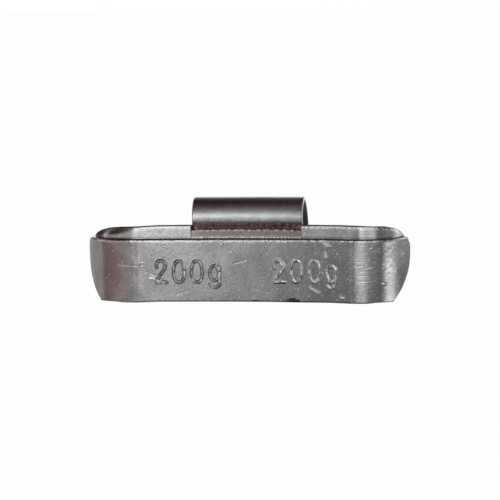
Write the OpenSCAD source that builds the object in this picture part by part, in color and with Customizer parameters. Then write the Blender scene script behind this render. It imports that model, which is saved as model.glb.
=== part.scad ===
// Clip-on balance weight for a truck wheel, 200 g.
// A lead body is cast round the root of a bent spring-steel clip, which hooks over the lip of the rim.
// X runs along the weight, its flat front looks along -Y, and the clip stands up along +Z.
// The origin is the centre line of the clip's tight bend, where the lip of the rim sits.

/* [Lead body] */
// Length from end to end
body_length = 95.8; // [84:0.1:120]
// Height of the flat front, from the foot to the ledge
front_height = 18.5; // [17:0.1:24]
// Radius of the upright round corner at each end of the front
corner_radius = 16.4; // [12:0.1:22]
// Depth of the narrow foot, front to back
foot_depth = 5; // [3.5:0.1:6.5]
// Greatest depth of the body, front to back
body_depth = 11.7; // [10.5:0.1:13]
// Lean of the lower back from the upright, in degrees
back_lean = 31; // [27:1:36]
// Radius of the round back above the lean
back_radius = 15.5; // [12:0.1:17]
// Width of the ledge that runs round the shoulder
ledge_width = 1.5; // [0.5:0.1:2.2]
// Height of the shoulder above the ledge
shoulder_height = 3.6; // [2:0.1:3.8]
// How far below the ledge the crown of the shoulder meets the round back
rim_drop = 1; // [0.3:0.1:1.5]
// How far the lead in front of the clip stops below the top of the shoulder
lip_drop = 1; // [0.5:0.1:1.9]

/* [Spring clip] */
// Width of the clip, along the weight
clip_width = 32.6; // [20:0.1:40]
// Thickness of the spring steel strip
clip_thickness = 1.6; // [1:0.1:2]
// Distance from the front of the body back to the front leg
clip_setback = 3.8; // [2.8:0.1:4.2]
// How far the clip sits to the right of the middle of the body
clip_offset = 0.8; // [-2:0.1:2]
// Top of the clip above the top of the shoulder
clip_rise = 7.7; // [7.7:0.1:12]
// Inner radius of the tight bend, which the lip of the rim fills
bend_radius = 3.8; // [2.5:0.1:3.8]
// Turn of the tight bend, in degrees
bend_turn = 130; // [115:1:145]
// Inner radius of the wide bend of the back leg
sweep_radius = 12.6; // [8:0.1:20]
// Turn of the wide bend, in degrees
sweep_turn = 30; // [15:1:35]
// Length of the straight end of the back leg
tip_length = 4.4; // [1:0.1:6]

/* [Root of the clip] */
// Depth of the root in the lead, below the top of the shoulder
root_depth = 10; // [8.5:0.1:14]
// Diameter of each anchor hole, which the lead fills
anchor_d = 5; // [2:0.1:6]
// Distance between the two anchor holes
anchor_pitch = 16; // [8:0.5:19]
// Steel left between an anchor hole and the end of the root
anchor_margin = 1.5; // [1:0.1:2.5]

/* [Hidden] */
$fn = 96;

// The section of the body: a leaning line from the foot runs into the round back, and ends
// a hair inside it, so that the two cross cleanly
corner_reach = sqrt(pow(corner_radius, 2) - pow(max(corner_radius - body_depth, 0), 2));
flat_half = body_length / 2 - corner_reach;
outer_half = flat_half + corner_radius;
round_y = body_depth - back_radius;
round_z = ((round_y - foot_depth) * cos(back_lean) + back_radius) / sin(back_lean);
tuck = 0.02;
lean_y = round_y + (back_radius - tuck) * cos(back_lean);
lean_z = round_z - (back_radius - tuck) * sin(back_lean);
shoulder_top = front_height + shoulder_height;

// The crown of the shoulder is level above the ledge's edge and falls to the rim of the back
rim_z = front_height - rim_drop;
rim_y = round_y + sqrt(pow(back_radius, 2) - pow(rim_z - round_z, 2));
crown_span = rim_y - ledge_width;
crown_fall = shoulder_top - rim_z;
crown_radius = (pow(crown_span, 2) + pow(crown_fall, 2)) / (2 * crown_fall);

// The centre line of the tight bend, measured from the front of the body and from its foot
bend_outer = bend_radius + clip_thickness;
hook_y = clip_setback + bend_outer;
hook_z = shoulder_top + clip_rise - bend_outer;
bend_end = 180 - bend_turn;
root_z = shoulder_top - root_depth;
leg_length = hook_z - root_z;

// Each stretch of the strip runs this far into the next, so that they fuse
lap = 0.005;

// The root and its anchor holes
anchor_z = root_z + anchor_margin + anchor_d / 2;
clip_left = clip_offset - clip_width / 2;

// The two pieces
LEAD = [0.50, 0.50, 0.50];
STEEL = [0.33, 0.29, 0.28];

// Lays a side view, depth across and height up, along the weight
module along_weight(from, length) {
    translate([from, 0, 0]) rotate([90, 0, 90]) linear_extrude(length) children();
}

// Moves a piece from the foot and front of the body to the centre line of the tight bend
module hook_frame() {
    translate([0, -hook_y, -hook_z]) children();
}

// The weight seen from above: a flat front with a round corner at each end
module outline(inset) {
    for (side = [-1, 1])
        translate([side * flat_half, corner_radius]) circle(r = corner_radius - inset);
    translate([-flat_half, inset]) square([2 * flat_half, corner_radius - inset]);
    translate([inset - outer_half, corner_radius]) square([2 * (outer_half - inset), body_depth]);
}

// The body seen from its end: foot, leaning back, round back and falling crown
module body_section() {
    polygon([[-ledge_width, 0], [foot_depth, 0], [lean_y, lean_z], [-ledge_width, lean_z]]);
    intersection() {
        translate([round_y, round_z]) circle(r = back_radius);
        translate([ledge_width, shoulder_top - crown_radius]) circle(r = crown_radius);
        translate([-ledge_width, lean_z / 2]) square(2 * shoulder_top);
    }
}

// The outline stands over the whole front, and steps in at the ledge
module stepped_outline() {
    linear_extrude(front_height) outline(0);
    linear_extrude(2 * shoulder_top) outline(ledge_width);
}

// The two round holes through the root, which the lead fills and so locks
module anchor_holes() {
    for (side = [-1, 1])
        translate([clip_offset + side * anchor_pitch / 2, clip_setback + clip_thickness / 2, anchor_z])
            rotate([90, 0, 0]) cylinder(h = 2 * clip_thickness, d = anchor_d, center = true);
}

// The room that the front leg takes in the lead
module pocket() {
    difference() {
        translate([clip_left, clip_setback, root_z]) cube([clip_width, clip_thickness, leg_length]);
        anchor_holes();
    }
}

// A bend of the strip about its centre, between two angles above the depth axis
module bend(radius, from, to) {
    rotate_extrude(angle = to - from, start = from)
        translate([radius, 0]) square([clip_thickness, clip_width]);
}

// The whole strip: straight front leg, tight bend over the rim, wide bend and straight tip
module strip() {
    translate([clip_left, hook_y, hook_z]) rotate([90, 0, 90]) {
        translate([-bend_outer, -leg_length, 0]) cube([clip_thickness, leg_length, clip_width]);
        bend(bend_radius, bend_end, 180 + lap);
        translate((bend_radius - sweep_radius) * [cos(bend_end), sin(bend_end), 0]) {
            bend(sweep_radius, bend_end - sweep_turn, bend_end + lap);
            rotate([0, 0, bend_end - sweep_turn])
                translate([sweep_radius, -tip_length, 0]) cube([clip_thickness, tip_length + lap, clip_width]);
        }
    }
}

// The cast lead body, with the pocket that the root of the clip fills
module lead_body() {
    color(LEAD) hook_frame() difference() {
        intersection() {
            along_weight(-outer_half, 2 * outer_half) body_section();
            stepped_outline();
        }
        pocket();
        translate([clip_left, 0, shoulder_top - lip_drop]) cube([clip_width, clip_setback, 2 * lip_drop]);
    }
}

// The spring clip, one bent strip of steel
module spring_clip() {
    color(STEEL) hook_frame() difference() {
        strip();
        anchor_holes();
    }
}

lead_body();
spring_clip();
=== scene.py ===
# %% [markdown]
# # A clip-on wheel balance weight
# The real thing is a grey metal casting poured round a bent strip of spring steel. The casting
# is a bar with a flat face, two rounded ends and a stepped shoulder; the strip comes out of the
# shoulder and bends over backwards to grip the flange of a wheel rim. This lesson dresses the
# two measured solids with surfaces worked out in numpy, so that edges, marks and wear are real
# geometry, and then gives them node-made metal. The pieces are worked out in millimetres and
# turned into metres when their mesh is made; the studio round them is in metres.

# %% Load the frame
import bmesh
import bpy
import numpy as np
from mathutils import Matrix, Vector


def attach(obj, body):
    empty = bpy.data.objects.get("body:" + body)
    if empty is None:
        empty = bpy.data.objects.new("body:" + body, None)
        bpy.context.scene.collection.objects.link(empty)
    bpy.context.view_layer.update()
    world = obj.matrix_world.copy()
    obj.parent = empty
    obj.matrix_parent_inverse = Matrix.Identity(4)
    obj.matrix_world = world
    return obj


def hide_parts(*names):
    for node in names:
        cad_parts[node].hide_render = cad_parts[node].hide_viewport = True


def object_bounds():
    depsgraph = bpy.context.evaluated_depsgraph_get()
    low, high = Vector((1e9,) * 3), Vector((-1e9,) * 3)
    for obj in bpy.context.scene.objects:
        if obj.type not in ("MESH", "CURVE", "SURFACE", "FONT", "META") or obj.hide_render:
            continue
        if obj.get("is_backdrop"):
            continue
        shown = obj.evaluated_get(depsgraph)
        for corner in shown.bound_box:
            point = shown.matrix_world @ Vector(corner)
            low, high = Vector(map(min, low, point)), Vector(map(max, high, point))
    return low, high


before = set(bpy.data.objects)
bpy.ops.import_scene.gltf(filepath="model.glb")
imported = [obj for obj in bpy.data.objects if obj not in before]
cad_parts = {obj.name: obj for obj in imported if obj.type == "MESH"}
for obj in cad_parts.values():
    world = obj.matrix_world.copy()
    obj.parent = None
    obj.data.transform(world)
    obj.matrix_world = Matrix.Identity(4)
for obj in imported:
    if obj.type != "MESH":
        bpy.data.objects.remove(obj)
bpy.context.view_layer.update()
MM = 0.001

# %% [markdown]
# ## Camera
# The view was worked out from outline points of the two flat edges, the rounded ends and the
# clip: a long lens, a little to the right of square on and a little above, with a slight roll.
# Aiming the camera at the middle of the picture keeps the lens shift at zero.

# %% Camera
FACE_MIDDLE = np.array([0.0, -9.2, -15.15])
DISTANCE, PIXELS_PER_MM, PICTURE, SENSOR = 782.0, 3.416, 500, 36.0
yaw, pitch, roll = np.radians([9.51, 8.56, -1.30])
back = np.array([np.sin(yaw) * np.cos(pitch), -np.cos(yaw) * np.cos(pitch), np.sin(pitch)])
right = np.array([np.cos(yaw), np.sin(yaw), 0.0])
up = np.cross(back, right)
right, up = np.cos(roll) * right + np.sin(roll) * up, -np.sin(roll) * right + np.cos(roll) * up
eye = FACE_MIDDLE + DISTANCE * back
aim = FACE_MIDDLE + 2.1 * right + 6.0 * up

camera_data = bpy.data.cameras.new("camera")
camera_data.lens = SENSOR * DISTANCE * PIXELS_PER_MM / PICTURE
camera_data.clip_start, camera_data.clip_end = 0.05, 20.0
camera = bpy.data.objects.new("camera", camera_data)
bpy.context.scene.collection.objects.link(camera)
look = (eye - aim) / np.linalg.norm(eye - aim)
across = right - look * (right @ look)
across /= np.linalg.norm(across)
turned = np.stack([across, np.cross(look, across), look], 1)
camera.matrix_world = Matrix([[*turned[i], eye[i] * MM] for i in range(3)] + [[0, 0, 0, 1]])
bpy.context.scene.camera = camera
print("lens, mm:", round(camera_data.lens, 1))

# %% [markdown]
# ## The bar's measures
# These are the measures of the solids. The origin is the centre of the hook's tight bend; X runs
# along the weight, Y goes backwards and Z up. The real bar is also very slightly arched, which
# is left to the dressed meshes.

# %% Measures of the casting
FRONT, FOOT, LEDGE = -9.2, -24.4, -6.02  # Y of the face, Z of the underside, Z of the ledge
FLAT_HALF, END_R, STEP = 32.19, 16.4, 1.5  # half the flat's length, radius of the ends, width of the ledge
BACK_Y, BACK_Z, BACK_R = -13.0, -8.95, 15.5  # centre and radius of the round back
CROWN_Y, CROWN_Z, CROWN_R = -7.7, -15.15, 13.3  # centre and radius of the crown
FOOT_BACK, LEAN_Y, LEAN_Z = -4.2, 0.286, -16.93  # back edge of the foot, upper end of the leaning flat
RIM_Y = 2.36  # where the crown gives way to the back
LEDGE_END = CROWN_Y + np.sqrt(CROWN_R ** 2 - (LEDGE - CROWN_Z) ** 2)
CLIP_LEFT, CLIP_RIGHT = -15.5, 17.3
SLOT_FRONT, SLOT_BACK = -5.0, -3.4  # the slot that the clip's root fills
NOSE = 0.30  # thickness that is left at the very ends
DROOP, DROOP_AT = 0.42, 45.0  # how much lower the bar hangs, at this distance from its middle


def arched(points):
    """Lowers each point by the droop times the square of its distance from the middle."""
    out = np.array(points, float)
    out[..., 2] -= DROOP * (out[..., 0] / DROOP_AT) ** 2
    return out


def top_of(y):
    """Height of the top at depth y: the crown's circle as far as the rim, then the back's."""
    crown = CROWN_Z + np.sqrt(np.maximum(CROWN_R ** 2 - (np.maximum(y, CROWN_Y) - CROWN_Y) ** 2, 0))
    rear = BACK_Z + np.sqrt(np.maximum(BACK_R ** 2 - (y - BACK_Y) ** 2, 0))
    return np.where(y < RIM_Y, crown, rear)


def bottom_of(y):
    """Height of the underside at depth y: the foot, the leaning flat, then the back's circle."""
    lean = FOOT + (y - FOOT_BACK) * (LEAN_Z - FOOT) / (LEAN_Y - FOOT_BACK)
    rear = BACK_Z - np.sqrt(np.maximum(BACK_R ** 2 - (y - BACK_Y) ** 2, 0))
    return np.where(y < FOOT_BACK, FOOT, np.where(y < LEAN_Y, lean, rear))


print("ledge meets crown at y", round(float(LEDGE_END), 2))

# %% [markdown]
# ## Noise, ramps and strokes
# Cast metal is never flat. A sum of sine waves with seeded directions gives a smooth, repeatable
# unevenness, and unlike an image it has no resolution. Marks, scratches and gouges are strokes:
# the distance from each point of the face to a polyline decides how far that point moves.

# %% Helpers for relief


def unevenness(x, z, size, seed, waves=14):
    """Sum of sine waves of about one size, in seeded directions and phases, mostly between -1 and 1."""
    rng = np.random.default_rng(seed)
    angle, phase = rng.uniform(0, 2 * np.pi, (2, waves))
    k = 2 * np.pi / (size * rng.uniform(0.6, 1.6, waves))
    total = np.zeros(np.broadcast(x, z).shape)
    for a, p, w in zip(angle, phase, k):
        total += np.sin(w * (x * np.cos(a) + z * np.sin(a)) + p)
    return total / np.sqrt(waves / 2) / 1.6


def distance_to(line, x, z):
    """Least distance from each point (x, z) to the segments of a polyline."""
    line = np.asarray(line, float)
    best = np.full(x.shape, 1e3)
    for (ax, az), (bx, bz) in zip(line[:-1], line[1:]):
        dx, dz = bx - ax, bz - az
        t = np.clip(((x - ax) * dx + (z - az) * dz) / max(dx * dx + dz * dz, 1e-9), 0, 1)
        best = np.minimum(best, np.hypot(x - ax - t * dx, z - az - t * dz))
    return best


def step_up(value, low, high):
    """Smooth ramp from 0 at low to 1 at high, three t squared minus two t cubed."""
    t = np.clip((value - low) / (high - low), 0, 1)
    return t * t * (3 - 2 * t)


def band(value, up_from, up_to, down_from, down_to):
    """One ramp up times one ramp down: 1 between them and 0 outside."""
    return step_up(value, up_from, up_to) * (1 - step_up(value, down_from, down_to))


print("a ramp halfway up:", step_up(0.5, 0, 1), "and a band past its end:", band(5, 0, 1, 2, 3))

# %% [markdown]
# ## The mass marks
# The face says its own mass twice, in plain raised strokes. A font would look too even, so the
# strokes are drawn with a simple round pen: a nought is a tall super-ellipse, the two is a bow,
# a slope and a foot, and the g is a bowl with a stem and a tail.

# %% Strokes of the marks


def nought(cx, cz, w, h):
    """A closed loop: cosine to the power 0.85 across and sine to the power 0.95 up."""
    t = np.linspace(0, 2 * np.pi, 41)
    c, s = np.cos(t), np.sin(t)
    return np.stack([cx + w / 2 * np.sign(c) * abs(c) ** 0.85, cz + h / 2 * np.sign(s) * abs(s) ** 0.95], 1)


def two(left, low, w, h):
    """An arc from 200 to -35 degrees, a slope to the lower left, and a straight foot."""
    t = np.linspace(np.radians(200), np.radians(-35), 20)
    r = w * 0.44
    bow = np.stack([left + w * 0.46 + r * np.cos(t), low + h - r * 1.12 + r * 1.12 * np.sin(t)], 1)
    slope = [[left + w * 0.18, low + h * 0.20], [left + w * 0.06, low]]
    return np.vstack([bow, slope, [[left + w, low + 0.02 * h]]])


def small_g(cx, cz, w, h):
    """An ellipse for the bowl, and a stem that runs down into a hooked tail."""
    t = np.linspace(np.radians(40), np.radians(400), 30)
    bowl = np.stack([cx + w * 0.40 * np.cos(t), cz + h * 0.16 + h * 0.34 * np.sin(t)], 1)
    a = np.linspace(0, np.radians(-165), 14)
    tail = np.stack([cx + w * 0.02 + w * 0.43 * np.cos(a), cz - h * 0.30 + h * 0.20 * np.sin(a)], 1)
    stem = np.array([[cx + w * 0.46, cz + h * 0.46], [cx + w * 0.45, cz - h * 0.30]])
    return [bowl, np.vstack([stem, tail])]


LEFT_MARK = [two(-25.9, -18.5, 3.1, 6.4), nought(-19.05, -15.4, 3.25, 6.2), nought(-13.7, -15.4, 3.25, 6.2),
             *small_g(-8.5, -16.85, 3.3, 6.3)]
RIGHT_MARK = [two(9.1, -18.5, 3.4, 6.3), nought(15.75, -15.3, 3.1, 6.3), nought(21.1, -15.25, 3.1, 6.2),
              nought(26.1, -16.0, 2.5, 4.7),
              np.array([[27.35, -14.4], [27.4, -18.2], [26.9, -19.7], [25.7, -20.0], [24.9, -19.4]])]
PEN = 0.20  # half width of the pen
MARKS = ((LEFT_MARK, 0.34, 0.24, 0.22), (RIGHT_MARK, 0.17, 0.20, 0.45))  # strokes, height, softness, wear
print("strokes:", len(LEFT_MARK), "and", len(RIGHT_MARK))

# %% Relief of the marks


def mass_marks(x, z):
    """Height of the strokes, one minus a ramp outside the pen, worn by noise. Painted shade lies in a ring
    round the foot of each stroke, a thinner darkening lies on it, and its crest is bare in spots."""
    out, grime, bare = np.zeros((3, *x.shape))
    for strokes, height, soft, wear in MARKS:
        near = np.min([distance_to(line, x, z) for line in strokes], axis=0)
        worn = 0.75 + wear * unevenness(x, z, 2.6, 11)
        out = out + height * worn * (1 - step_up(near, PEN, PEN + soft))
        # painted shade: a dark ring round the foot of each stroke, and a thin darkening on the stroke itself
        ring = np.exp(-((near - PEN - 0.75 * soft) / 0.17) ** 2)
        grime = np.maximum(grime, 2.6 * height * worn * ring)
        grime = np.maximum(grime, 0.4 * height * (1 - step_up(near, 0.1, 0.4)))
        crest = (1 - step_up(near, 0.0, 0.22)) * step_up(unevenness(x, z, 2.2, 12), 0.45, 0.8)
        bare = np.maximum(bare, 0.5 * crest)
    return out, grime, bare


for side, strokes in (("left", LEFT_MARK), ("right", RIGHT_MARK)):
    crest = mass_marks(*np.vstack(strokes).T)[0]
    mean, most = round(float(crest.mean()), 2), round(float(crest.max()), 2)
    print(side, "mark, mm high:", mean, "on average and", most, "at most")

# %% [markdown]
# ## Wear
# Soft metal keeps every knock. Gouges are short strokes pushed in, with a small burr thrown up
# beside them; scratches are long shallow ones; nicks sit along the top edge of the face. They
# are modelled and not painted, because on bright metal it is the slope that shows.

# %% Places of knocks, scratches and rubbed spots
RUBBED = [  # x0, z0, x1, z1, half width
    (-27.6, -17.0, -26.8, -17.4, 0.50), (-25.4, -18.1, -23.6, -18.5, 0.45),
    (-17.45, -15.2, -17.45, -16.9, 0.22), (-15.2, -17.7, -14.9, -18.1, 0.22),
    (-12.3, -17.8, -12.6, -18.2, 0.22), (-6.95, -15.6, -7.0, -18.4, 0.20),
    (24.75, -15.4, 25.4, -18.0, 0.24), (25.1, -19.6, 25.9, -20.1, 0.26),
    (16.3, -12.15, 17.1, -12.5, 0.20), (21.3, -12.1, 22.3, -12.9, 0.18),
    (22.5, -13.0, 22.7, -14.6, 0.16), (20.9, -18.1, 21.5, -18.4, 0.24),
    (15.0, -17.6, 15.5, -18.2, 0.22), (9.9, -18.3, 12.3, -18.2, 0.16),
    (-30.3, -13.9, -30.0, -13.9, 0.26), (23.9, -6.7, 25.0, -7.6, 0.34),
    (-23.3, -7.7, -22.5, -8.1, 0.34), (-7.2, -6.6, -6.3, -7.4, 0.22),
    (20.3, -20.2, 22.2, -21.3, 0.28)]
GOUGES = [  # x0, z0, x1, z1, half width, depth
    (-27.9, -15.9, -25.3, -16.9, 0.15, 0.10), (-23.4, -7.6, -22.3, -8.0, 0.22, 0.22),
    (-7.4, -6.4, -6.1, -7.4, 0.25, 0.22), (10.9, -12.0, 11.9, -13.4, 0.25, 0.22),
    (20.1, -19.9, 22.3, -21.3, 0.28, 0.32), (23.9, -6.3, 25.2, -7.7, 0.30, 0.28),
    (24.6, -9.8, 24.6, -11.0, 0.20, 0.22), (29.1, -22.3, 29.2, -22.5, 0.35, 0.25),
    (40.9, -18.8, 41.5, -19.0, 0.30, 0.22), (-30.1, -13.4, -30.0, -13.5, 0.35, 0.28),
    (37.6, -8.2, 37.8, -8.4, 0.22, 0.16), (39.7, -9.6, 39.9, -9.7, 0.20, 0.14)]
SCRATCHES = [  # the same six numbers
    (-37.6, -13.6, -31.6, -13.7, 0.14, 0.10), (-2.9, -13.2, 1.3, -12.0, 0.13, 0.08),
    (31.0, -12.6, 35.6, -12.6, 0.10, 0.05), (32.6, -11.5, 36.0, -11.6, 0.10, 0.04),
    (33.0, -13.8, 37.8, -14.0, 0.10, 0.06), (34.6, -15.3, 38.8, -15.4, 0.10, 0.05),
    (32.8, -16.6, 36.4, -16.6, 0.10, 0.05), (33.4, -18.0, 38.0, -18.1, 0.10, 0.06),
    (32.4, -20.2, 35.8, -20.3, 0.10, 0.04), (41.0, -13.4, 42.6, -13.8, 0.12, 0.05),
    (3.0, -20.4, 8.2, -21.6, 0.10, 0.06), (-20.0, -22.0, -16.5, -21.2, 0.10, 0.06)]
NICKS = np.random.default_rng(7).uniform([-44, 0.2, 0.03], [46, 0.8, 0.11], (64, 3))  # x, half width, depth
print("gouges, scratches, nicks, rubbed:", len(GOUGES), len(SCRATCHES), len(NICKS), len(RUBBED))

# %% Relief of the knocks


def knocks(x, z):
    """A knock is its depth times one minus a ramp over its half width, with a burr of a quarter of the
    depth beside it. A nick is an ellipse on the top edge, and a rubbed spot leans back a little."""
    out, grime, bare = np.zeros((3, *x.shape))
    for x0, z0, x1, z1, half, deep in GOUGES + SCRATCHES:
        near = distance_to([(x0, z0), (x1, z1)], x, z)
        burr = np.exp(-((near - 1.4 * half) / (0.35 * half)) ** 2)
        out = out - deep * (1 - step_up(near, 0.0, half)) + 0.25 * deep * burr
        bare = np.maximum(bare, (1 - step_up(near, 0.4 * half, 1.2 * half)) * min(1.0, 4 * deep))
    for place, wide, deep in NICKS:
        near = np.hypot((x - place) / wide, (z - LEDGE) / (0.45 + 0.5 * wide))
        out = out - deep * (1 - step_up(near, 0.0, 1.0))
        bare = np.maximum(bare, 1 - step_up(near, 0.5, 1.1))
    for x0, z0, x1, z1, half in RUBBED:
        ragged = min(0.18, 0.45 * half) * unevenness(x, z, 0.8, 16)
        near = distance_to([(x0, z0), (x1, z1)], x, z) + ragged
        patch = 1 - step_up(near, 0.5 * half, 1.2 * half)
        out = out - 0.11 * (z - (z0 + z1) / 2) * patch
        bare = np.maximum(bare, patch)
    return out, grime, bare


try_x, try_z = np.meshgrid(np.linspace(20, 23, 40), np.linspace(-22, -19, 40), indexing="ij")
print("deepest knock, mm:", round(float(-knocks(try_x, try_z)[0].min()), 2))

# %% Skin and edges of the face
PITTED = ((42.7, -13.6, 1.7, 2.8, 1.0), (43.0, -8.2, 1.5, 1.6, 0.6))  # x, z, reach in x and z, strength
SMUDGES = ((3.7, 2.6, 1.0), (14.6, 3.1, 1.7))  # x, half width and height of the dark spots on the foot


def cast_skin(x, z):
    """Low swells everywhere, higher ones near the left end, pits, and bright dots that crowd together in
    two patches at the right end."""
    out = 0.014 * unevenness(x, z, 9.0, 3) + 0.0025 * unevenness(x, z, 1.7, 4)
    out = out + 0.035 * unevenness(x, z, 7.0, 5) * band(-x, 29.0, 33.0, 37.0, 42.0)
    pitted = sum(share * np.exp(-((x - px) / wx) ** 2 - ((z - pz) / wz) ** 2)
                 for px, pz, wx, wz, share in PITTED)
    dots = unevenness(x, z, 0.9, 17) + 0.5 * unevenness(x, z, 3.5, 18) + 1.3 * pitted
    out = out + 0.02 * pitted * unevenness(x, z, 1.3, 23)
    holes = step_up(unevenness(x, z, 0.9, 19) + 0.5 * unevenness(x, z, 4.0, 20), 1.5, 1.8)
    # the pits are also darkened, through the layer of painted shade and grime
    return out - 0.015 * holes, 0.4 * holes, 0.55 * step_up(dots, 1.35, 1.6)


def edge_wear(x, z):
    """A broken bright line 0.35 mm under the top edge, and a dark line along the foot with two dark smudges.
    """
    rim = np.exp(-((z - LEDGE + 0.35) / 0.28) ** 2)
    broken = step_up(unevenness(x, 0 * z, 1.4, 13) + 0.6 * unevenness(x, z, 0.5, 14), 0.0, 0.3)
    smudge = np.max([high * (1 - ((x - at) / half) ** 2) for at, half, high in SMUDGES], axis=0) - 0.1
    smudge = step_up(smudge - (z - FOOT) + 0.12 * unevenness(x, z, 1.5, 15), 0.0, 0.35)
    foot_line = 0.9 * np.exp(-((z - FOOT - 0.05) / 0.28) ** 2)
    return 0 * x, np.maximum(foot_line, smudge), 0.5 * rim * broken


def face_relief(x, z):
    """How far the face stands out at (x, z), mm: the sum of all layers. Painted shade with grime, and
    bare metal, 0 to 1, are the greatest of all layers."""
    layers = [cast_skin(x, z), mass_marks(x, z), knocks(x, z), edge_wear(x, z)]
    heights, grimes, bares = zip(*layers)
    return np.sum(heights, axis=0), np.max(grimes, axis=0), np.max(bares, axis=0)


print("layers of the face: skin, marks, knocks, edges")

# %% [markdown]
# ## The cast bar
# The bar is one skin: a closed profile in Y and Z carried along the length. At every station the
# profile's corner points are worked out from the plan outline (a flat with a quarter-round at
# each end) and from the section's circles, so toward the ends the loop shrinks by itself, like
# the real casting. Averaging neighbouring points a few times rounds the corners as casting does.

# %% Stations along the bar
flat_x = np.unique(np.concatenate([
    np.linspace(-FLAT_HALF, -27.5, 16), np.linspace(-27.5, CLIP_LEFT - 0.03, 70),
    np.linspace(CLIP_LEFT + 0.03, -5.4, 58), np.linspace(-5.4, 8.2, 46),
    np.linspace(8.2, CLIP_RIGHT - 0.03, 50), np.linspace(CLIP_RIGHT + 0.03, 28.3, 64),
    np.linspace(28.3, FLAT_HALF, 14)]))
end_turn = np.arccos(1 - (BACK_Y + BACK_R - FRONT - NOSE) / END_R)
turn = np.linspace(0, end_turn, 70)[1:]
far_round = (turn / end_turn) ** 2
end_x = FLAT_HALF + END_R * np.sin(turn) + 0.32 * far_round
station_x = np.concatenate([-(end_x + 0.14 * far_round)[::-1], flat_x, end_x])
station_turn = np.concatenate([-turn[::-1], 0 * flat_x, turn])
from_middle = abs(station_x)
print("stations:", len(station_x), "ends at x", round(float(station_x[0]), 2), round(float(station_x[-1]), 2))

# %% Plan outline of the face, the ledge and the shoulder
bow = 0.40 * (np.minimum(from_middle, FLAT_HALF) / FLAT_HALF) ** 2
station_y = FRONT + END_R * (1 - np.cos(station_turn))
station_y = station_y + bow * (1 - abs(station_turn) / end_turn)
station_y = station_y + 0.09 * band(from_middle, 30.9, 34.3, 36.0, 46.0)
corner_from = np.where(station_x < 0, 46.7, 46.5)
ledge_z = LEDGE - 2.7 * (1 - np.sqrt(1 - np.clip((from_middle - corner_from) / 1.5, 0, 0.98) ** 2))
ledge_z = ledge_z - 0.14 * band(station_x, 24.0, 32.0, 40.0, 46.0)
tighter = np.where(station_x > 0, 1.0, 0.0)
inner_r = END_R - STEP - tighter + np.where(station_x < 0, 0.35, 0.0)
beyond = np.maximum(np.maximum(from_middle - FLAT_HALF, 0) - tighter, 0)
inner_round = FRONT + STEP + inner_r - np.sqrt(np.maximum(inner_r ** 2 - beyond ** 2, 0))
inner_y = np.where(beyond < inner_r, inner_round, LEDGE_END)
print("ledge, width in the middle:", round(float((inner_y - station_y)[len(station_x) // 2]), 2))

# %% [markdown]
# ## The profile
# The loop runs up the face, over the ledge, up the shoulder, over the crown and down the back to
# the foot. Where the clip comes out, the crown is cut down to a low lip in front of the strip, and
# a slot holds the strip's root. Each stretch has a fixed number of points, so that points of
# neighbouring stations pair up and looks can be given by place on the loop.

# %% Points of each stretch
WALL_N, LEDGE_N, RISER_N, CROWN_N, SLOT_N, REAR_N, ARC_N, LEAN_N, FOOT_N = 100, 8, 18, 8, 5, 20, 14, 12, 12
RISER_AT = WALL_N + LEDGE_N  # first point of the shoulder's upright side
CROWN_AT = RISER_AT + RISER_N  # first point of the crown
SLOT_AT = CROWN_AT + CROWN_N + 1
REAR_AT = SLOT_AT + SLOT_N + 1
END_FALLS = [  # side, ramp's start and end in x, share of the height over the ledge that is lost
    (-1, 24.0, 34.0, 0.085), (-1, 35.0, 40.0, 0.06), (-1, 39.0, 46.0, 0.17), (-1, 45.0, 47.0, 0.10),
    (1, 28.0, 38.0, 0.065), (1, 40.0, 45.5, 0.05), (1, 45.2, 47.5, 0.26)]


def between(a, b, n, last=False):
    """Points from a to b as rows of n columns; the last one is left out unless asked for."""
    t = np.linspace(0, 1, n + 1)[: None if last else -1]
    return a[:, None] + (b - a)[:, None] * t


print("shoulder, crown, slot and rear start at points", RISER_AT, CROWN_AT, SLOT_AT, REAR_AT)

# %% Lip and shoulder
SLOT_FLOOR, LIP_FALL = -4.3, 0.50  # height of the slot's floor, and the fall of the lip towards the slot
BLUNT = 46.3  # farther out than this the crown stays below the ledge


def lip_height(x):
    """Height of the casting's lip in front of the clip: uneven, and lower at the clip's two ends."""
    lip = -3.14 + 0.10 * unevenness(x, 0 * x, 6.0, 21) + 0.03 * unevenness(x, 0 * x, 1.6, 22)
    return lip - 0.45 * step_up(x, 14.5, CLIP_RIGHT) - 0.25 * step_up(-x, 13.5, -CLIP_LEFT)


def riser_draft(x, riser_z, foot_z, top_z):
    """How far the shoulder's upright side leans back: 0.03 of the height, a soft top edge, more at the
    right end, and at the left end a growing curve."""
    rise = riser_z - foot_z[:, None]
    level = np.clip(rise / np.maximum(top_z - foot_z[:, None], 0.3), 0, 1)
    slant = step_up(-x, 28.0, 40.0)[:, None]
    draft = 0.030 * rise + 0.10 * step_up(riser_z, top_z - 0.7, top_z)
    draft = draft + 0.05 * rise * step_up(x, 34.5, 38.0)[:, None]
    return draft + slant * (0.035 * rise + 1.5 * np.maximum(level - 0.74 + 0.55 * slant, 0) ** 2)


print("lip at the middle of the clip, z:", round(float(lip_height(np.array([0.9]))[0]), 2))

# %% Profile of the bar at every station


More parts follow.
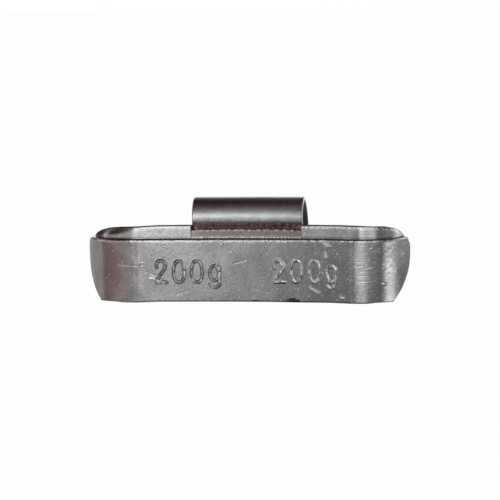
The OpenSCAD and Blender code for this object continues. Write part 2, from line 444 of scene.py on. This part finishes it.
def bar_profile(face_y, riser_y, x, ledge):
    """Depth and height of the closed loop at each station: wall, ledge, shoulder, crown, back, foot."""
    foot_z = bottom_of(face_y + NOSE)
    riser_y = np.clip(riser_y, face_y + NOSE, np.maximum(LEDGE_END, face_y + NOSE))
    riser_z = np.minimum(ledge, top_of(riser_y))
    rim = np.maximum(RIM_Y, riser_y)
    knee = np.maximum(face_y + NOSE, LEAN_Y)
    arc = between(np.arctan2(np.minimum(top_of(rim), ledge) - BACK_Z, rim - BACK_Y),
                  np.arctan2(bottom_of(knee) - BACK_Z, knee - BACK_Y), ARC_N)
    foot_end = np.maximum(FOOT_BACK, face_y + NOSE)
    wall_z = between(foot_z, riser_z, WALL_N)
    wall_y = face_y[:, None] + 0.06 * step_up(wall_z, LEDGE - 0.7, LEDGE) ** 1.5
    ledge_y = between(face_y, riser_y, LEDGE_N)
    under_clip = ((x > CLIP_LEFT) & (x < CLIP_RIGHT))[:, None]
    riser_y = riser_y + 0.12 * under_clip[:, 0]
    front_y = between(riser_y, np.maximum(SLOT_FRONT, riser_y), CROWN_N, True)
    slot_y = between(np.maximum(SLOT_FRONT, riser_y), np.maximum(SLOT_BACK, riser_y), SLOT_N, True)
    rear_y = between(np.maximum(SLOT_BACK, riser_y), rim, REAR_N)
    end_fall = sum(lost * step_up(side * x, low, high) for side, low, high, lost in END_FALLS)

    def crown(y):
        z = top_of(y)
        z = np.where(z > LEDGE, LEDGE + (z - LEDGE) * (1 - end_fall[:, None]), z)
        return np.where(abs(x[:, None]) > BLUNT, np.minimum(z, ledge[:, None]), z)

    lip = lip_height(x)[:, None] - LIP_FALL * np.linspace(0, 1, CROWN_N + 1)
    front_z = np.where(under_clip, lip, crown(front_y))
    slot_z = np.where(under_clip, SLOT_FLOOR, crown(slot_y))
    side_z = between(riser_z, front_z[:, 0], RISER_N)
    draft = riser_draft(x, side_z, riser_z, front_z[:, :1])
    front_y = np.maximum(front_y, (riser_y + draft[:, -1])[:, None])
    lean_y = between(knee, foot_end, LEAN_N)
    lean_z = between(bottom_of(knee), foot_z, LEAN_N)
    ys = [wall_y, ledge_y, riser_y[:, None] + draft, front_y, slot_y, rear_y,
          BACK_Y + BACK_R * np.cos(arc), lean_y, between(foot_end, face_y, FOOT_N)]
    zs = [wall_z, np.repeat(riser_z[:, None], LEDGE_N, 1), side_z, front_z, slot_z, crown(rear_y),
          BACK_Z + BACK_R * np.sin(arc), lean_z, np.repeat(foot_z[:, None], FOOT_N, 1)]
    return np.concatenate(ys, 1), np.concatenate(zs, 1)


def rounded(loop, passes):
    """Each pass makes a point half of itself and a quarter of each neighbour round the closed loop."""
    for _ in range(passes):
        loop = 0.25 * np.roll(loop, 1, 1) + 0.5 * loop + 0.25 * np.roll(loop, -1, 1)
    return loop


profile_y, profile_z = bar_profile(station_y, inner_y, station_x, ledge_z)
profile_y, profile_z = rounded(profile_y, 3), rounded(profile_z, 3)
print("profile points:", profile_y.shape[1])

# %% Relief on the whole skin
FACE_N = WALL_N + LEDGE_N // 2  # the face and the front half of the ledge
face_x = np.repeat(station_x[:, None], FACE_N, 1)
relief, face_grime, face_bare = face_relief(face_x, profile_z[:, :FACE_N])
fade = np.ones(FACE_N)
fade[:3], fade[-4:] = (0.2, 0.5, 0.8), (0.9, 0.7, 0.45, 0.2)
relief = relief * fade
sag = 0.14 + 0.12 * step_up(station_x, 5.0, 20.0) + 0.22 * band(from_middle, 24.0, 33.5, 35.5, 39.5)
belly = 0.60 * step_up(from_middle, 39.0, 45.0)[:, None] * band(-profile_z, 8.0, 15.0, 19.5, 24.3)
profile_z = profile_z - sag[:, None] * step_up(LEDGE - profile_z, 6.0, 17.0) - belly
bar = np.stack([np.repeat(station_x[:, None], profile_y.shape[1], 1), profile_y, profile_z], 2)
bar[:, :FACE_N, 0] += np.sin(station_turn)[:, None] * relief
bar[:, :FACE_N, 1] -= np.cos(station_turn)[:, None] * relief
rest = bar[:, FACE_N:]
wobble = 0.014 * unevenness(rest[..., 0] + 0.7 * rest[..., 1], rest[..., 2], 6.0, 31) \
    + 0.003 * unevenness(rest[..., 0], rest[..., 2] + rest[..., 1], 1.6, 32)
rest[..., 2] += wobble * step_up(rest[..., 2], FOOT, FOOT + 3)
rest[..., 1] += 0.6 * wobble
print("relief of the face, mm:", round(float(relief.min()), 2), "to", round(float(relief.max()), 2))

# %% [markdown]
# ## Painted shade, grime and bare metal
# Both are numbers that the mesh carries at each point, from 0 to 1, and the material mixes its
# colours by them. Painted shade darkens the inner corners of the ledge, the crown's front strip and
# the lip and slot round the clip; the lip's edge and small beads under the clip are rubbed bright, and a
# painted highlight runs along the shoulder's top edge.

# %% Painted shade, grime and bare metal by place on the loop
grime, bare = np.zeros(profile_y.shape), np.zeros(profile_y.shape)
grime[:, :FACE_N], bare[:, :FACE_N] = face_grime, face_bare
by_clip = ((station_x > CLIP_LEFT) & (station_x < CLIP_RIGHT))[:, None]
shoulder = slice(RISER_AT + 2, SLOT_AT)
shoulder_x, shoulder_z = bar[:, shoulder, 0], bar[:, shoulder, 2]
# painted shade: darker towards the inner corner of the ledge and the foot of the shoulder, over the crown's
# front strip, and on the lip, in the slot and at the clip's foot under the clip
corner_grime = 0.5 - 0.25 * step_up(station_x, 34.0, 42.0)[:, None]
grime[:, WALL_N + 3:WALL_N + 6] = 0.1
grime[:, WALL_N + 6:RISER_AT + 1] = 0.15
grime[:, RISER_AT + 1:RISER_AT + 4] = np.where(by_clip, 0.2, corner_grime)
grime[:, CROWN_AT - 1:SLOT_AT - 1] = 0.75
lip_grime = np.clip(0.80 + 0.17 * (shoulder_z + 3.5), 0.3, 0.8)
grime[:, shoulder] = np.maximum(grime[:, shoulder], np.where(by_clip, lip_grime, 0.0))
clip_foot = slice(CROWN_AT + 5, REAR_AT + 5)
grime[:, clip_foot] = np.where(by_clip, 0.5, grime[:, clip_foot])

beads = step_up(unevenness(shoulder_x, shoulder_z, 0.9, 34), 0.1, 0.6)
bead_line = 0.75 * np.exp(-((shoulder_z + 5.55) / 0.28) ** 2) * beads
at_edge = abs(np.arange(RISER_AT + 2, SLOT_AT) - CROWN_AT) < 3
lip_line = 0.95 * step_up(unevenness(shoulder_x, 0 * shoulder_z, 1.6, 35), -0.6, 0.3) * at_edge
bare[:, shoulder] = np.where(by_clip, np.maximum(bead_line, lip_line), 0)
flaw = step_up(unevenness(bar[..., 0], bar[..., 1] + bar[..., 2], 1.1, 33), -0.6, 0.2)
# painted highlight: a bright line along the shoulder's top edge, broken in places and brighter to the right
top_edge_highlight = np.clip(1.3 - abs(np.arange(profile_y.shape[1]) - (CROWN_AT - 3.4)) / 2.2, 0, 1)[None]
edge_share = (0.6 + 0.4 * step_up(station_x, 31.0, 34.0))[:, None]
bare = np.maximum(bare, np.where(by_clip, 0, edge_share * top_edge_highlight * flaw))
print("mean grime and bare metal:", round(float(grime.mean()), 3), round(float(bare.mean()), 3))

# %% From grid to mesh


def grid_mesh(name, points, **looks):
    """Quads between neighbouring stations and neighbouring points of the closed loop, with a flat cap at
    each end; looks are numbers for each point, which the material reads by name."""
    n, m = points.shape[:2]
    index = np.arange(n * m).reshape(n, m)
    nxt = np.roll(index, -1, 1)
    quads = np.stack([index[:-1], index[1:], nxt[1:], nxt[:-1]], 2).reshape(-1, 4)
    verts = arched(points).reshape(-1, 3) * MM
    faces = quads.tolist()
    faces += [index[0].tolist(), index[-1][::-1].tolist()]
    mesh = bpy.data.meshes.new(name)
    mesh.from_pydata(verts.tolist(), [], faces)
    for key, values in looks.items():
        numbers = mesh.attributes.new(key, "FLOAT", "POINT").data
        numbers.foreach_set("value", np.ravel(values).astype(np.float32))
    return mesh


def finish_mesh(mesh):
    """Drops edges shorter than 0.002 mm, turns every face outwards and shades the surface smooth."""
    bm = bmesh.new()
    bm.from_mesh(mesh)
    bmesh.ops.dissolve_degenerate(bm, dist=0.002 * MM, edges=bm.edges)
    bmesh.ops.recalc_face_normals(bm, faces=bm.faces)
    open_edges = sum(1 for e in bm.edges if not e.is_manifold)
    bm.to_mesh(mesh)
    volume = bm.calc_volume(signed=True)
    bm.free()
    mesh.shade_smooth()
    tris = sum(len(p.vertices) - 2 for p in mesh.polygons)
    print(mesh.name, "triangles", tris, "open edges", open_edges, "volume mm3", round(volume * 1e9, 1))
    return mesh


def piece(name, mesh, node):
    """Makes the object, which rides the one body and stands for its solid."""
    made = bpy.data.objects.new(name, mesh)
    bpy.context.scene.collection.objects.link(made)
    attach(made, "root")
    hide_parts(node)
    return made


bar_mesh = finish_mesh(grid_mesh("casting", bar, grime=grime, bare=bare))
casting = piece("casting", bar_mesh, "lead_body")

# %% [markdown]
# ## The spring clip
# The clip is one strip of spring steel. Its middle line is a root that tucks in a little where it
# leaves the casting, a tight bend, a wide bend and a straight tip; its section is a flat
# rectangle with its sheared edges a little rounded. Carrying the section along the line gives
# the strip with true thickness, which a Solidify modifier would also do, but without control
# over the rounded edges.

# %% Middle line of the clip
THICK, INNER, TURN, WIDE, SWEEP, TIP = 1.6, 3.8, 130.0, 12.6, 30.0, 4.4
mid, wide_mid = INNER + THICK / 2, WIDE + THICK / 2
bend_end, sweep_end = np.radians(180 - TURN), np.radians(180 - TURN - SWEEP)
a1 = np.linspace(np.pi, bend_end, 66)
a2 = np.linspace(bend_end, sweep_end, 30)[1:]
wide_centre = (INNER - WIDE) * np.array([np.cos(bend_end), np.sin(bend_end)])
root_z = np.linspace(-12.2, 0, 60)[:-1]
lean = np.interp(-root_z, [0.4, 1.4, 2.1, 2.8, 4.6], [0, 0.21, 0.21, 0.06, 0.0])
tuck = np.cumsum((lean * np.gradient(root_z))[::-1])[::-1] * (1 - step_up(-root_z, 5.0, 10.0))
bend = mid * np.stack([np.cos(a1), np.sin(a1)], 1)
sweep = wide_centre + wide_mid * np.stack([np.cos(a2), np.sin(a2)], 1)
tip_way = np.array([np.sin(sweep_end), -np.cos(sweep_end)])
tip = sweep[-1] + np.linspace(0, TIP, 14)[1:, None] * tip_way
line = np.concatenate([np.stack([tuck - mid, root_z], 1), bend, sweep, tip])
line[:, 1] += 0.08 - 0.34 * np.clip(1 - line[:, 1] / mid, 0, 1)
way = np.gradient(line, axis=0)
way /= np.linalg.norm(way, axis=1)[:, None]
outward = np.stack([-way[:, 1], way[:, 0]], 1)
print("middle line, mm:", round(float(np.linalg.norm(np.diff(line, axis=0), axis=1).sum()), 1))

# %% Skin of the clip
TIP_STEP, TIP_DRAW = np.array([0.14, 0.24, 0.30]), np.array([0.06, 0.16, 0.30])


def strip_section(width, thick, r, across=60):
    """Closed loop round a rectangle: two long faces of many points and four quarter-round corners."""
    hx, hz = width / 2 - r, thick / 2 - r
    q = np.linspace(0, np.pi / 2, 6)
    s = np.linspace(hx, -hx, across + 2)[1:-1]
    corner = [np.stack([cx + r * np.cos(q + t), cz + r * np.sin(q + t)], 1) for cx, cz, t in
              ((hx, hz, 0), (-hx, hz, np.pi / 2), (-hx, -hz, np.pi), (hx, -hz, 1.5 * np.pi))]
    over, under = np.stack([s, 0 * s + thick / 2], 1), np.stack([-s, 0 * s - thick / 2], 1)
    return np.concatenate([corner[0], over, corner[1], corner[2], under, corner[3]])


def clip_skin(middle, facing):
    """Middle line plus section: its width goes along X, its height along the outward normal. The last
    rings draw in by 0.06, 0.16 and 0.30 mm, which rounds the tip."""
    section = strip_section(CLIP_RIGHT - CLIP_LEFT, THICK, 0.28)
    inset = np.concatenate([np.zeros(len(middle) - len(TIP_DRAW)), TIP_DRAW])[:, None]
    x = section[None, :, 0] * (1 - 2 * inset / (CLIP_RIGHT - CLIP_LEFT))
    high = section[None, :, 1] * (1 - 2 * inset / THICK)
    high = high + 0.012 * unevenness(x, np.arange(len(middle))[:, None] * 0.14, 9.0, 41)
    yz = middle[:, None] + facing[:, None] * high[..., None]
    return np.concatenate([(x + (CLIP_LEFT + CLIP_RIGHT) / 2)[..., None], yz], 2)


middle = np.concatenate([line, line[-1] + TIP_STEP[:, None] * tip_way])
facing = np.concatenate([outward, np.repeat(outward[-1:], len(TIP_STEP), 0)])
skin = clip_skin(middle, facing)
# one mark is 1 on the concave side, which is painted dark brown as shade, and low is 1 on the front of the
# root, where it dips into the casting and is painted a pink shade
flat_middle = np.concatenate([line, np.repeat(line[-1:], len(TIP_STEP), 0)])
inside = step_up(-((skin[..., 1:] - flat_middle[:, None]) * facing[:, None]).sum(2), 0.3, 0.7)
low = step_up(-skin[..., 2], 0.7, 2.0) * (1 - inside) * (skin[..., 1] < 0)
strip_mesh = finish_mesh(grid_mesh("clip", skin, inside=inside, low=low))
clip = piece("clip", strip_mesh, "spring_clip")

# %% [markdown]
# ## Writing shader maths
# A small class wraps a socket, so that an ordinary expression such as 1 - mask adds the Math
# nodes. One method makes any other node from its type, its settings and its inputs.

# %% Shader helper


class Wire:
    """A socket that can be added, subtracted, multiplied and so on with another or with a number."""

    def __init__(self, tree, socket=None):
        self.tree, self.socket = tree, socket

    def node(self, kind, settings=None, **inputs):
        """Adds a node, sets it up first, then gives its sockets values or links by name or i0, i1."""
        made = self.tree.nodes.new(kind)
        for key, value in (settings or {}).items():
            setattr(made, key, value)
        for key, value in inputs.items():
            number = key[1:].isdigit() and key[0] == "i"
            socket = made.inputs[int(key[1:])] if number else made.inputs[key.replace("_", " ")]
            if isinstance(value, Wire):
                self.tree.links.new(value.socket, socket)
            else:
                socket.default_value = value
        return made

    def out(self, kind, settings=None, output=0, **inputs):
        """A new node's output, by number or name, as a wire."""
        return Wire(self.tree, self.node(kind, settings, **inputs).outputs[output])

    def maths(self, op, *values):
        """One Math node of the named operation."""
        return self.out("ShaderNodeMath", {"operation": op}, **{f"i{i}": v for i, v in enumerate(values)})

    def __add__(self, other):
        return self.maths("ADD", self, other)

    def __radd__(self, other):
        return self.maths("ADD", other, self)

    def __sub__(self, other):
        return self.maths("SUBTRACT", self, other)

    def __rsub__(self, other):
        return self.maths("SUBTRACT", other, self)

    def __mul__(self, other):
        return self.maths("MULTIPLY", self, other)

    def __rmul__(self, other):
        return self.maths("MULTIPLY", other, self)

    def ramp(self, low, high):
        """Goes smoothly from 0 at low to 1 at high."""
        smooth = {"interpolation_type": "SMOOTHSTEP"}
        return self.out("ShaderNodeMapRange", smooth, Value=self, From_Min=low, From_Max=high)

    def noise(self, scale, detail, rough):
        """Noise over this vector, 0 to 1."""
        return self.out("ShaderNodeTexNoise", Vector=self, Scale=scale, Detail=detail, Roughness=rough)

    def mix(self, a, b):
        """Colour a where this is 0, colour b where it is 1."""
        return self.out("ShaderNodeMix", {"data_type": "RGBA"}, output=2, i0=self, i6=a, i7=b)


def srgb(r, g, b):
    """A colour as the eye reads it, 0 to 255, in linear light, with a 1 for opaque."""
    v = np.array([r, g, b]) / 255.0
    linear = np.where(v <= 0.04045, v / 12.92, ((v + 0.055) / 1.055) ** 2.4)
    return *linear.tolist(), 1.0


print("besides its sums and products a wire has:", [key for key in vars(Wire) if key[0] != "_"])

# %% A metal to start from


def empty_tree(owner):
    """Turns on the nodes of a material or world, clears them, and gives a wire to start from."""
    owner.use_nodes = True
    owner.node_tree.nodes.clear()
    return Wire(owner.node_tree)


def new_metal(name):
    """A new material and a wire of its Object coordinates in mm."""
    made = bpy.data.materials.new(name)
    place = empty_tree(made).out("ShaderNodeTexCoord", output="Object")
    return made, place.out("ShaderNodeVectorMath", {"operation": "SCALE"}, i0=place, Scale=1 / MM)


def marking(place, name):
    """A number that the mesh carries at each point."""
    return place.out("ShaderNodeAttribute", {"attribute_name": name}, output=2)


def dress(made, colour, roughness, height, strength, depth):
    """Ends the material in bare metal of that colour, roughness, and bump of a strength and a depth in mm."""
    bump = height.out("ShaderNodeBump", Strength=strength, Distance=depth * MM, Height=height)
    shader = colour.out("ShaderNodeBsdfPrincipled", Metallic=1.0, Base_Color=colour,
                        Roughness=roughness, Normal=bump)
    shader.node("ShaderNodeOutputMaterial", Surface=shader)
    print(made.name, "nodes:", len(made.node_tree.nodes))


print("mid grey in linear light:", round(srgb(128, 128, 128)[0], 3))


# %% [markdown]
# ## Cast grey metal
# The casting is a soft grey alloy with a dull, slightly mottled skin. Fine grain comes from two
# sizes of noise in the colour, the roughness and a bump; knocks along edges are brighter. The
# start of the round at the right end has fine level streaks, which a noise that is stretched in
# X and Y and squeezed in Z gives.

# %% Material of the casting
lead, place = new_metal("cast_grey_metal")
fine = place.noise(2.4, 5.0, 0.7)
cloud = place.noise(0.16, 3.0, 0.5)
speck = place.noise(4.5, 2.0, 0.5)
spots = speck.ramp(0.60, 0.70)
grime_mask, bare_mask = marking(place, "grime"), marking(place, "bare")
base = cloud.ramp(0.35, 0.65).mix(srgb(178, 180, 179), srgb(194, 196, 194))
base = (fine.ramp(0.35, 0.68) * 0.55).mix(base, srgb(146, 146, 145))
base = (spots * 0.6).mix(base, srgb(104, 98, 96))
# painted shade in corners, creases, pits and round the clip, with the dark line and smudges along the foot
base = (grime_mask * (0.75 + fine * 0.4)).mix(base, srgb(76, 65, 63))
# bright bare metal at knocks, nicks and rubbed spots, and the painted highlight along the shoulder's top edge
base = (bare_mask * fine.ramp(0.25, 0.55)).mix(base, srgb(240, 240, 238))
rough = 0.13 + fine * 0.12 + spots * 0.1 + bare_mask * 0.16
streak = place.out("ShaderNodeVectorMath", {"operation": "MULTIPLY"}, i0=place, i1=(0.25, 0.25, 4.0))
side_x = place.out("ShaderNodeSeparateXYZ", i0=place)
polished = side_x.ramp(30.0, 33.0) * (1.0 - side_x.ramp(36.5, 38.5))
height = fine * 0.7 + speck * 0.5 + cloud * 0.6 + streak.noise(1.0, 2.0, 0.5) * polished * 1.4
dress(lead, base, rough, height, 0.6, 0.026)
casting.data.materials.append(lead)

# %% [markdown]
# ## Spring steel
# The clip is plain spring steel with a satin skin, evenly grained. Its concave side is painted dark
# brown as shade, and the front of its root, where it dips into the casting, is painted a pink shade.

# %% Material of the clip
steel, place = new_metal("satin_spring_steel")
grain = place.noise(3.2, 3.0, 0.6)
drift = place.noise(0.22, 2.0, 0.5)
tone = drift.ramp(0.3, 0.7).mix(srgb(188, 191, 191), srgb(201, 204, 204))
tone = (grain.ramp(0.35, 0.7) * 0.6).mix(tone, srgb(144, 140, 140))
# painted shade: the concave side of the bend turned dark brown
tone = (marking(place, "inside") * 0.9).mix(tone, srgb(84, 66, 64))
# painted shade: the front of the root, by the casting, turned pink
tone = (marking(place, "low") * 0.7).mix(tone, srgb(200, 150, 157))
dress(steel, tone, 0.12 + grain * 0.11, grain, 0.75, 0.05)
clip.data.materials.append(steel)

# %% [markdown]
# ## Studio
# Polished shapes show the room. The room here is a pale floor and white background, and a tent
# of studio screens that only reflections see: pale and dark panels at the bearings where the
# rounded ends and the bend show them. The floor sits lower than the part, which in use hangs
# from a wheel rim. Floor and background look white to the camera and to mirrors, but give the
# softer light of a real room to everything else.

# %% Floor and world
FLOOR_Z = -0.150  # in metres
GLOW_SHARE = 0.97  # how white the floor looks to the camera; the rest is its paint, which takes the shadow


def sheet(name, verts, faces):
    """A plain mesh object of the stage."""
    mesh = bpy.data.meshes.new(name)
    mesh.from_pydata([tuple(float(c) for c in v) for v in verts], [], faces)
    made = bpy.data.objects.new(name, mesh)
    bpy.context.scene.collection.objects.link(made)
    made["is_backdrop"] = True
    return made


def seen_rays(start):
    """1 for rays from the camera, from mirrors and through glass, 0 for soft light."""
    path = start.node("ShaderNodeLightPath")
    seen = Wire(start.tree, path.outputs["Is Camera Ray"])
    seen = seen.maths("MAXIMUM", seen, Wire(start.tree, path.outputs["Is Glossy Ray"]))
    return seen.maths("MAXIMUM", seen, Wire(start.tree, path.outputs["Is Transmission Ray"]))


def join(share, unseen, shown, kind):
    """The unseen shader where share is 0 and the shown one where it is 1, into an output of a kind."""
    both = share.out("ShaderNodeMixShader", i0=share, i1=unseen, i2=shown)
    share.node(kind, Surface=both)


corners = [(-4, -4, FLOOR_Z), (4, -4, FLOOR_Z), (4, 4, FLOOR_Z), (-4, 4, FLOOR_Z)]
floor = sheet("floor", corners, [(0, 1, 2, 3)])
white = bpy.data.materials.new("white_floor")
seen = seen_rays(empty_tree(white))
paint = seen.out("ShaderNodeBsdfDiffuse", Color=(0.8, 0.8, 0.8, 1))
glow = seen.out("ShaderNodeEmission", Color=(1, 1, 1, 1), Strength=1.0)
join(seen * GLOW_SHARE, paint, glow, "ShaderNodeOutputMaterial")
floor.data.materials.append(white)

world = bpy.data.worlds.new("studio")
bpy.context.scene.world = world
seen = seen_rays(empty_tree(world))
soft = seen.out("ShaderNodeBackground", Color=(0.8, 0.8, 0.8, 1), Strength=0.6)
plain = seen.out("ShaderNodeBackground", Color=(1, 1, 1, 1), Strength=1.0)
join(seen, soft, plain, "ShaderNodeOutputWorld")
print("floor at z, m:", FLOOR_Z)

# %% Brightness of the screens
ROUND = np.array([  # bearing in degrees from straight in front, positive to the right; brightness; warmth
    (-180, 0.50, 0), (-125, 0.48, 0), (-112, 0.48, 0.1), (-90, 0.46, 0.2), (-82, 0.23, 1.0),
    (-60, 0.29, 1.0), (-46, 0.33, 0.85), (-34, 0.35, 0.6), (-23.0, 0.33, 0.35), (-19.2, 0.46, 0),
    (-17, 1.08, 0), (-15, 1.31, 0), (-12.5, 0.60, 0), (-10.8, 0.26, 0), (-6.5, 0.76, 0), (-5, 0.41, 0.1),
    (-4, 0.06, 0.2), (-3, 0.03, 0.3), (1.7, 0.03, 0.3), (3.4, 0.72, 0), (6, 1.08, 0), (18, 1.02, 0),
    (21.5, 0.32, 0.15), (29, 0.17, 0.2),
    (54, 0.17, 0.2), (60, 0.70, 0.1), (64, 1.85, 0), (76, 1.62, 0), (85, 0.50, 0), (96, 0.15, 0),
    (120, 0.24, 0), (140, 0.45, 0), (180, 0.50, 0)])
RISE = np.array([  # elevation in degrees; factor on the brightness in front
    (-90, 1.00), (-66, 0.75), (-57, 0.46), (-46, 0.15), (-34, 0.15), (-24, 0.22), (-14, 0.85), (-8.6, 1.0),
    (-4, 1.5), (-1, 2.75), (8, 2.7), (14, 2.0), (22, 1.25), (30, 0.85), (38, 0.60), (51, 0.38), (65, 0.26),
    (79, 0.16), (90, 0.08)])
LEFT_RISE = np.array([  # the same at the left-hand side
    (-30, 1.8), (-16, 1.5), (-10, 1.0), (-6.6, 1.0), (-4.6, 2.2), (1, 2.4), (7, 1.0), (14, 0.3), (30, 0.25),
    (90, 0.25)])
RIGHT_RISE = np.array([  # and at the right-hand side
    (-14, 1.0), (-8, 1.0), (4, 1.05), (10, 0.9), (18, 0.6), (30, 0.45), (50, 0.3), (90, 0.15)])
BEHIND = np.array([  # elevation; brightness behind the part
    (-90, 0.40), (-6, 0.45), (0, 0.95), (24, 0.95), (32, 0.50), (40, 0.20), (60, 0.08), (90, 0.08)])
SHIFTED = np.array([  # bearing above the ledge's level; bearing in the first list that it takes over
    (-8, -8), (0, 0.2), (42, 18), (49, 24.5), (85, 54), (96, 60.5), (112, 63.5)])


def look_up(value, rows, column=1):
    """Straight lines between the rows of a list."""
    return np.interp(value, rows[:, 0], rows[:, column])


print("screens: brightest", ROUND[:, 1].max(), "at bearing", ROUND[ROUND[:, 1].argmax(), 0])

# %% Screens that reflections see


def screen_light(b, e):
    """Brightness at bearing b and elevation e, and warmth, which takes half of green and blue away. In
    front it is the list by bearing times a list by elevation, and behind it is one list by elevation."""
    moved = step_up(e, -8.0, -5.6) * step_up(b, -8, 2)
    along = b + moved * (look_up(b, SHIFTED) - b)
    level, warmth = look_up(along, ROUND), look_up(along, ROUND, 2)
    left_side, right_side = band(-b, 23, 28, 86, 96), band(b, 12, 20, 96, 106)
    rise = look_up(e, RISE) * (1 - left_side - right_side)
    front = level * (rise + look_up(e, LEFT_RISE) * left_side + look_up(e, RIGHT_RISE) * right_side)
    rear = np.where(e < -2, level, look_up(e, BEHIND))
    beyond_left = band(-b, 94, 102, 135, 150) * step_up(e, -6, -3)
    beyond_right = band(b, 114, 122, 150, 165) * step_up(e, -6, -3)
    mixed = step_up(abs(b), 100, 112)
    light = (front * (1 - mixed) + rear * mixed) * (1 - 0.90 * beyond_left - 0.80 * beyond_right)
    off_level = step_up(abs(e + 4), 16, 30)
    warmth = warmth * (1 - left_side * band(e, -7, -4, 4, 9)) * (1 - 0.9 * step_up(-e, 11, 15))
    dim = (1 - step_up(light, 0.03, 0.45)) * (1 - 0.7 * mixed) * np.where(e < 0, 0.6, 1.0)
    return light, np.maximum(warmth * (1 - off_level) + dim * off_level, 0.8 * beyond_left)


def screen_tent(reach=0.55):
    """A tent all round: points by bearing and elevation at one reach, cut off level 1 mm over the floor."""
    b, e = np.meshgrid(np.linspace(-180, 180, 361), np.linspace(-88, 89, 119), indexing="ij")
    br, er = np.radians(b), np.radians(e)
    to_floor = np.where(e < 0, (-FLOOR_Z - MM) / np.maximum(-np.sin(er), 1e-3), 9)
    pointing = np.stack([np.sin(br) * np.cos(er), -np.cos(br) * np.cos(er), np.sin(er)], 2)
    light, warm = screen_light(b, e)
    colour = np.stack([light, light * (1 - 0.5 * warm), light * (1 - 0.49 * warm), np.ones_like(light)], 2)
    return np.minimum(reach, to_floor)[..., None] * pointing, colour


pts, colour = screen_tent()
index = np.arange(pts.shape[0] * pts.shape[1]).reshape(pts.shape[:2])
quads = np.stack([index[:-1, :-1], index[1:, :-1], index[1:, 1:], index[:-1, 1:]], 2).reshape(-1, 4)
tent = sheet("screens", pts.reshape(-1, 3), quads.tolist())
tent.visible_camera = tent.visible_diffuse = tent.visible_shadow = tent.visible_transmission = False
layer = tent.data.color_attributes.new("panel", "FLOAT_COLOR", "POINT")
layer.data.foreach_set("color", colour.ravel())
print("screens, faces:", len(quads))

# %% Cloth of the screens
cloth = bpy.data.materials.new("screen_cloth")
panel = empty_tree(cloth).out("ShaderNodeAttribute", {"attribute_name": "panel"}, output="Color")
shine = panel.out("ShaderNodeEmission", Color=panel, Strength=1.0)
shine.node("ShaderNodeOutputMaterial", Surface=shine)
tent.data.materials.append(cloth)
print("cloth nodes:", len(cloth.node_tree.nodes))

# %% [markdown]
# ## Lamps
# Two soft lamps stand at the upper left and right. Bare metal shows only what it mirrors, and the
# lamps are left out of reflections, so here they light the floor and not the weight.

# %% Lamps


def soft_lamp(name, place_at, aim_at, size, power):
    """A square area lamp turned to the part and left out of reflections."""
    data = bpy.data.lights.new(name, "AREA")
    data.size, data.energy = size, power
    made = bpy.data.objects.new(name, data)
    made.location = place_at
    made.rotation_mode = "QUATERNION"
    made.rotation_quaternion = (Vector(place_at) - Vector(aim_at)).to_track_quat("Z", "Y")
    made.visible_glossy = False
    bpy.context.scene.collection.objects.link(made)
    return made


lamps = [soft_lamp("key", (-0.5, -0.7, 0.9), (0, 0, -0.01), 0.6, 9.0),
         soft_lamp("fill", (0.8, -0.6, 0.5), (0, 0, -0.01), 0.7, 4.0)]
print("lamps:", [lamp.name for lamp in lamps])

bpy.context.scene.view_settings.view_transform = "Standard"
low, high_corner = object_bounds()
print("visual box, mm:", [round(v / MM, 2) for v in (*low, *high_corner)])
